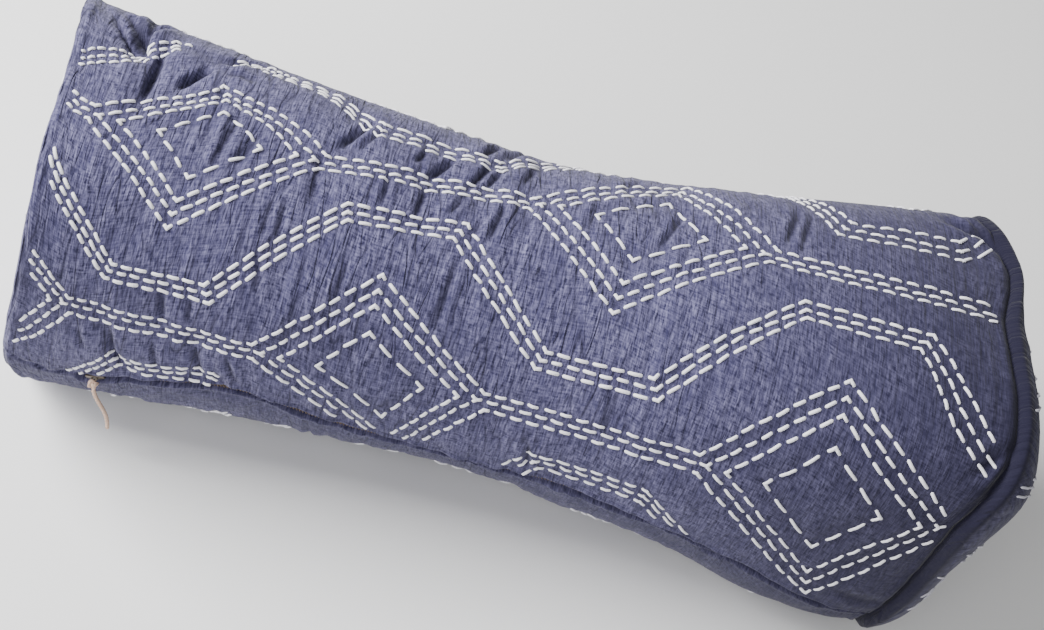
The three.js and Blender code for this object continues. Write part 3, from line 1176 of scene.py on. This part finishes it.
def add_panel_stitches(name, end, panel, turned, start_u, start_v):
    """The same pattern across an end, turned with the cloth it was cut from."""
    tree = BVHTree.FromObject(panel, bpy.context.evaluated_depsgraph_get())
    grid = left_grid if end < 0 else right_grid
    centre = grid[-1].mean(0)
    rim_y, rim_z = grid[3][:, 1], grid[3][:, 2] - centre[2]
    u, v, corners = stitch_places(33)
    c, s = math.cos(math.radians(turned)), math.sin(math.radians(turned))
    y = repeat * (c * (u - start_u) - s * (v - start_v))
    z = repeat * (s * (u - start_u) + c * (v - start_v))
    angle = np.arctan2(z, y)
    rim_angle = np.arctan2(rim_z, rim_y)
    order = np.argsort(rim_angle)
    reach = np.interp(angle, rim_angle[order], np.hypot(rim_y, rim_z)[order], period=2 * math.pi)
    inside = (np.hypot(y, z) < reach - panel_clearance).all(axis=1)
    y, z, corners = y[inside], z[inside] + centre[2], corners[inside]
    paths = np.zeros(y.shape + (3,))
    normals = np.zeros(y.shape + (3,))
    outside = seam_middle + end * (half + 0.08)
    good = np.ones(len(y), bool)
    for i in range(y.shape[0]):
        for k in range(y.shape[1]):
            hit, normal = tree.ray_cast(Vector((outside, y[i, k], z[i, k])), Vector((-end, 0, 0)))[:2]
            if hit is None:
                good[i] = False
                break
            paths[i, k] = hit
            normals[i, k] = normal * (1 if normal.x * end > 0 else -1)
    stitches = add_stitches(name, paths[good], normals[good], corners[good], panel_stitch_width)
    return stitches


cover_stitches = add_cover_stitches()
left_stitches = add_panel_stitches("left_end_stitches", -1, left_panel, 35, 0.1, 0.2)
right_stitches = add_panel_stitches("right_end_stitches", 1, right_panel, 0, 0.05, 0.0)


# Zip: the tape in its channel, with a coil along the middle
tape_turn = 1.2
tape_thickness = 0.0009
tape_inset = 0.0005
groove_depth = 0.0026
coil_pitch = 0.0014
coil_width = 0.0010
coil_height = 0.00045
coil_strand = 0.00028
coil_margin = 0.012
coil_shortfall = 0.020


def tape_line(x, turn, lift):
    """Points over the channel's floor at places along the pillow, in the CAD's own numbers."""
    t = x / half
    floor = cover_points(t, turn + 0 * x)
    middle = np.stack([floor[:, 0], 0 * x, side_at(t) / 2 - rest_sink], axis=-1)
    return floor + unit(floor - middle) * (lift - groove_depth)


def add_tape():
    x = np.linspace(zip_start + tape_inset, zip_end - tape_inset, 220)
    edges = [(tape_turn, 0), (-tape_turn, 0), (-tape_turn, tape_thickness), (tape_turn, tape_thickness)]
    rings = [tape_line(x, zip_turn + turn, piece_gap + lift) for turn, lift in edges]
    tape = capped_tube("zip_tape_woven", np.stack(rings, axis=1))
    tape.data.polygons.foreach_set("use_smooth", [False] * len(tape.data.polygons))
    face_out(tape)
    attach(tape, "root")
    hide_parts("zip_tape")
    return tape


def add_coil():
    """A flattened spiral along the middle of the tape."""
    turns = int((zip_end - zip_start - coil_shortfall) / coil_pitch)
    phase = np.linspace(0, turns * 2 * math.pi, turns * 8 + 1)
    x = zip_start + coil_margin + phase / (2 * math.pi) * coil_pitch
    base = tape_line(x, zip_turn, piece_gap + tape_thickness)
    across = unit(tape_line(x, zip_turn - 1, piece_gap + tape_thickness) - base)
    outward = unit(tape_line(x, zip_turn, piece_gap + 2 * tape_thickness) - base)
    path = base + across * (coil_width * np.cos(phase))[:, None]
    path += outward * (coil_height * (0.6 + np.sin(phase)))[:, None]
    coil = capped_tube("zip_coil", twisted_strand(path, coil_strand, 1, 0, around=5, rounded=False))
    face_out(coil)
    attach(coil, "root")
    return coil


tape = add_tape()
coil = add_coil()


# Slider: two plates joined at the nose, and the eye that the lace goes through
slider_length = 0.0088
slider_width = 0.0033
slider_height = 0.0016
slider_taper = 0.35
slider_crown = 0.0003
slider_bevel = 0.00035
slider_seat = 0.0001
eye_radius = 0.0013
eye_thickness = 0.0004
eye_rise = 0.0010


def slider_axes(x):
    """Along the zip, across it and out of it, at a place along the pillow."""
    x = np.array([x])
    outward = unit(tape_line(x, zip_turn, 0.01)[0] - tape_line(x, zip_turn, 0)[0])
    along = unit(tape_line(x + 0.001, zip_turn, 0)[0] - tape_line(x - 0.001, zip_turn, 0)[0])
    return along, np.cross(outward, along), outward


def add_slider():
    frame_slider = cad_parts["zip_slider"]
    middle = np.array([v.co for v in frame_slider.data.vertices]).mean(0)
    along, upward, outward = slider_axes(middle[0] - seam_middle)
    bpy.ops.object.select_all(action="DESELECT")
    bpy.ops.mesh.primitive_cube_add(size=1, location=(0, 0, 0))
    slider = bpy.context.object
    slider.name = "slider_body"
    bpy.ops.object.mode_set(mode="EDIT")
    bpy.ops.mesh.select_all(action="SELECT")
    size = (slider_length, slider_width, slider_height)
    bpy.ops.transform.resize(value=size, center_override=(0, 0, 0))
    bpy.ops.mesh.subdivide(number_cuts=3)
    bpy.ops.object.mode_set(mode="OBJECT")
    for vertex in slider.data.vertices:
        outer = (vertex.co.x / (slider_length / 2)) ** 2
        vertex.co.y *= 1 - slider_taper * outer
        if vertex.co.z > 0:
            vertex.co.z += slider_crown * (1 - outer)
    bevel = slider.modifiers.new("rounded", "BEVEL")
    bevel.width = slider_bevel
    bevel.segments = 3
    pick(slider)
    bpy.ops.object.modifier_apply(modifier="rounded")
    bpy.ops.mesh.primitive_torus_add(major_radius=eye_radius, minor_radius=eye_thickness,
                                     major_segments=24, minor_segments=8,
                                     location=(0, 0, eye_rise), rotation=(math.pi / 2, 0, 0))
    bpy.ops.object.transform_apply(location=True, rotation=True, scale=True)
    slider.select_set(True)
    bpy.context.view_layer.objects.active = slider
    bpy.ops.object.join()
    for vertex in slider.data.vertices:
        p = vertex.co
        vertex.co = middle + p.x * along + p.y * upward + (p.z - slider_seat) * outward
    bpy.ops.object.shade_smooth_by_angle(angle=math.radians(40))
    face_out(slider)
    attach(slider, "root")
    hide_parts("zip_slider")
    return slider


slider = add_slider()


# Materials: values are sockets or plain numbers, and a socket knows its own node tree
def new_material(name, **settings):
    """A material and its shader, whose own sockets get the settings' uniform values."""
    material = bpy.data.materials.new(name)
    material.use_nodes = True
    shader = material.node_tree.nodes["Principled BSDF"]
    for setting, value in settings.items():
        shader.inputs[setting.replace("_", " ")].default_value = value
    return material, shader


def add_node(tree, kind, **values):
    node = tree.nodes.new(kind)
    for key, value in values.items():
        setattr(node, key, value)
    return node


def feed(socket, value):
    """Gives a socket a plain value, or joins another socket to it."""
    if isinstance(value, (int, float, tuple)):
        socket.default_value = value
    else:
        socket.id_data.links.new(value, socket)


def stretched_noise(coordinates, scale, detail=2.0, rough=0.5):
    """Noise over coordinates that are stretched by the three scales."""
    mapping = add_node(coordinates.id_data, "ShaderNodeMapping")
    feed(mapping.inputs["Scale"], scale)
    feed(mapping.inputs["Vector"], coordinates)
    texture = add_node(coordinates.id_data, "ShaderNodeTexNoise")
    feed(texture.inputs["Scale"], 1)
    feed(texture.inputs["Detail"], detail)
    feed(texture.inputs["Roughness"], rough)
    feed(texture.inputs["Vector"], mapping.outputs["Vector"])
    return texture.outputs["Fac"]


def spread_out(value, low, high, out_low=0.0, out_high=1.0):
    node = add_node(value.id_data, "ShaderNodeMapRange")
    feed(node.inputs["Value"], value)
    feed(node.inputs["From Min"], low)
    feed(node.inputs["From Max"], high)
    feed(node.inputs["To Min"], out_low)
    feed(node.inputs["To Max"], out_high)
    return node.outputs["Result"]


def maths(operation, first, second):
    tree = second.id_data if isinstance(first, (int, float)) else first.id_data
    node = add_node(tree, "ShaderNodeMath", operation=operation)
    feed(node.inputs[0], first)
    feed(node.inputs[1], second)
    return node.outputs["Value"]


def times(first, second):
    return maths("MULTIPLY", first, second)


def plus(first, second):
    return maths("ADD", first, second)


def less(first, second):
    return maths("SUBTRACT", first, second)


def greater(first, second):
    return maths("MAXIMUM", first, second)


def mixed(factor, first, second):
    node = add_node(factor.id_data, "ShaderNodeMix", data_type="RGBA")
    feed(node.inputs["Factor"], factor)
    feed(node.inputs["A"], first)
    feed(node.inputs["B"], second)
    return node.outputs["Result"]


def bump(shader, height, strength, distance):
    node = add_node(shader.id_data, "ShaderNodeBump")
    feed(node.inputs["Strength"], strength)
    feed(node.inputs["Distance"], distance)
    feed(node.inputs["Height"], height)
    feed(shader.inputs["Normal"], node.outputs["Normal"])


def scaled(colour, by):
    return tuple(part * by for part in colour) + (1,)


def crease_lines(cloth, scale, sharpness):
    """Fine lines where a noise crosses its middle, used for the wrinkles' bump and their painted shade.
    """
    field = stretched_noise(cloth, scale, detail=1, rough=0.4)
    off = maths("ABSOLUTE", less(field, 0.5), 0.0)
    return spread_out(off, 0.0, 1 / sharpness, 1.0, 0.0)


def thread_colour(threads, cloud, shade):
    """Dark warp and pale weft, worn to a middle blue in clouds."""
    woven = spread_out(threads, 0.40, 0.60)
    colour = mixed(woven, scaled(warp_blue, shade), scaled(weft_blue, shade))
    unworn = less(1.0, spread_out(cloud, 0.75, 1.25))
    return mixed(times(unworn, 0.62), colour, scaled(worn_blue, shade))


def wrinkle_lines(cloth, along):
    """Fine wrinkles in patches, fewer toward the fuller end."""
    broad = crease_lines(cloth, (11, 2.0, 1), 26)
    fine = crease_lines(cloth, (23, 3.5, 1), 14)
    lines = greater(broad, times(fine, 0.6))
    calm = spread_out(along, 0.5, 1.4, 1.0, 0.25)
    patches = spread_out(stretched_noise(cloth, (4, 3, 1)), 0.35, 0.6, 0.25, 1.0)
    return times(times(lines, calm), patches)


warp_blue = (0.016, 0.015, 0.048)
weft_blue = (0.205, 0.194, 0.345)
worn_blue = (0.046, 0.043, 0.105)
# Near-black blue that the painted shade mixes the cloth toward
painted_shade_blue = (0.012, 0.011, 0.026)


def chambray(name, shade):
    """Indigo warp with a paler weft, slubbed and finely crinkled. shade darkens it all, as painted shade.
    """
    material, shader = new_material(name, Roughness=0.92, Specular_IOR_Level=0.15,
                                    Sheen_Weight=0.10, Sheen_Roughness=0.5)
    tree = material.node_tree
    cloth = add_node(tree, "ShaderNodeUVMap", uv_map="cloth").outputs["UV"]
    split = add_node(tree, "ShaderNodeSeparateXYZ")
    feed(split.inputs["Vector"], cloth)
    along, around = split.outputs["X"], split.outputs["Y"]
    warp = stretched_noise(cloth, (130, 24, 1))
    weft = stretched_noise(cloth, (20, 120, 1))
    slub = stretched_noise(cloth, (52, 30, 1), detail=3, rough=0.7)
    cloud = stretched_noise(cloth, (9, 7, 1), detail=3)
    streak = stretched_noise(cloth, (36, 3.2, 1), detail=3, rough=0.6)
    threads = plus(plus(times(warp, 0.36), times(weft, 0.30)), times(slub, 0.34))
    lines = wrinkle_lines(cloth, along)
    painted_shade = add_node(tree, "ShaderNodeAttribute", attribute_name="painted_shade").outputs["Fac"]
    # Painted shade: the per-point attribute and the wrinkle lines mix the colour toward a near-black
    # blue, for the shade in folds, seams and wrinkles
    inside = greater(times(painted_shade, 0.82), times(lines, 0.55))
    # Painted shade toward the right end, stronger lower down, where the cloth turns from the light
    painted_end_shade = times(spread_out(along, 0.7, 1.9), spread_out(around, 1.5, 2.5, 0.76, 0.58))
    painted_shade_mix = less(1.0, times(less(1.0, inside), less(1.0, painted_end_shade)))
    colour = thread_colour(threads, plus(cloud, streak), shade)
    feed(shader.inputs["Base Color"], mixed(painted_shade_mix, colour, scaled(painted_shade_blue, 1)))
    height = less(plus(times(threads, 0.45), times(streak, 1.2)), times(lines, 0.55))
    bump(shader, height, 0.9, 0.0012)
    return material


def cotton_thread(name, colour, dull):
    """Cotton with a fine twist, darker in the hollows of its bump: painted shade."""
    material, shader = new_material(name, Roughness=0.8, Specular_IOR_Level=0.2)
    place = add_node(material.node_tree, "ShaderNodeTexCoord").outputs["Object"]
    fluff = stretched_noise(place, (1800, 1800, 1800), detail=2)
    hollow_shade = spread_out(fluff, 0.35, 0.65)
    feed(shader.inputs["Base Color"], mixed(hollow_shade, scaled(colour, dull), scaled(colour, 1)))
    bump(shader, fluff, 0.4, 0.0003)
    return material


def woven_tape(name, colour):
    material, shader = new_material(name, Roughness=0.85)
    place = add_node(material.node_tree, "ShaderNodeTexCoord").outputs["Object"]
    weave = stretched_noise(place, (2600, 900, 900), detail=1)
    woven = spread_out(weave, 0.4, 0.6)
    feed(shader.inputs["Base Color"], mixed(woven, scaled(colour, 0.6), scaled(colour, 1)))
    bump(shader, weave, 0.4, 0.0003)
    return material


def dull_metal(name):
    material, shader = new_material(name, Metallic=0.9, Roughness=0.42)
    place = add_node(material.node_tree, "ShaderNodeTexCoord").outputs["Object"]
    wear = stretched_noise(place, (700, 700, 700), detail=3)
    rubbed = mixed(wear, (0.10, 0.085, 0.07, 1), (0.24, 0.20, 0.16, 1))
    feed(shader.inputs["Base Color"], rubbed)
    return material


def dress(material, *pieces):
    for piece in pieces:
        piece.data.materials.clear()
        piece.data.materials.append(material)


dress(chambray("cover_chambray", 1.0), cover)
# The end panels are the cover's cloth painted darker, as painted shade: a little on the left end, much on
# the right end, which faces away from the light
dress(chambray("left_chambray", 0.95), left_panel)
dress(chambray("right_chambray_painted_shade", 0.66), right_panel)
dress(cotton_thread("stitch_cotton", (0.96, 0.95, 1.0), 0.84), cover_stitches, left_stitches)
# The right end's stitches are the same white thread painted darker, as painted shade
dress(cotton_thread("end_cotton_painted_shade", (0.60, 0.59, 0.66), 0.8), right_stitches)
dress(cotton_thread("lace_cotton", (0.82, 0.58, 0.45), 0.65), lace, knot)
dress(woven_tape("zip_weave", (0.10, 0.075, 0.06)), tape)
dress(woven_tape("coil_nylon", (0.20, 0.14, 0.10)), coil)
dress(dull_metal("slider_metal"), slider)


def add_floor():
    bpy.ops.object.select_all(action="DESELECT")
    bpy.ops.mesh.primitive_plane_add(size=8, location=(0, 0, -0.0005))
    floor = bpy.context.object
    floor.name = "floor"
    material, _ = new_material("pale_floor", Base_Color=(0.9, 0.9, 0.9, 1), Roughness=0.95)
    dress(material, floor)


def add_light(name, place, aim, size, power):
    bpy.ops.object.light_add(type="AREA", location=place)
    light = bpy.context.object
    light.name = name
    light.data.size = size
    light.data.energy = power
    light.rotation_euler = (Vector(place) - Vector(aim)).to_track_quat("Z", "Y").to_euler()


def add_world():
    world = bpy.data.worlds.new("studio")
    world.use_nodes = True
    background = world.node_tree.nodes["Background"]
    background.inputs["Color"].default_value = (1, 1, 1, 1)
    background.inputs["Strength"].default_value = 0.34
    bpy.context.scene.world = world


add_floor()
add_light("key", (-1.15, 0.15, 1.0), (0, 0, 0.10), 1.0, 60)
add_light("fill", (-0.5, -1.2, 1.1), (0, 0, 0.08), 1.2, 12)
add_world()
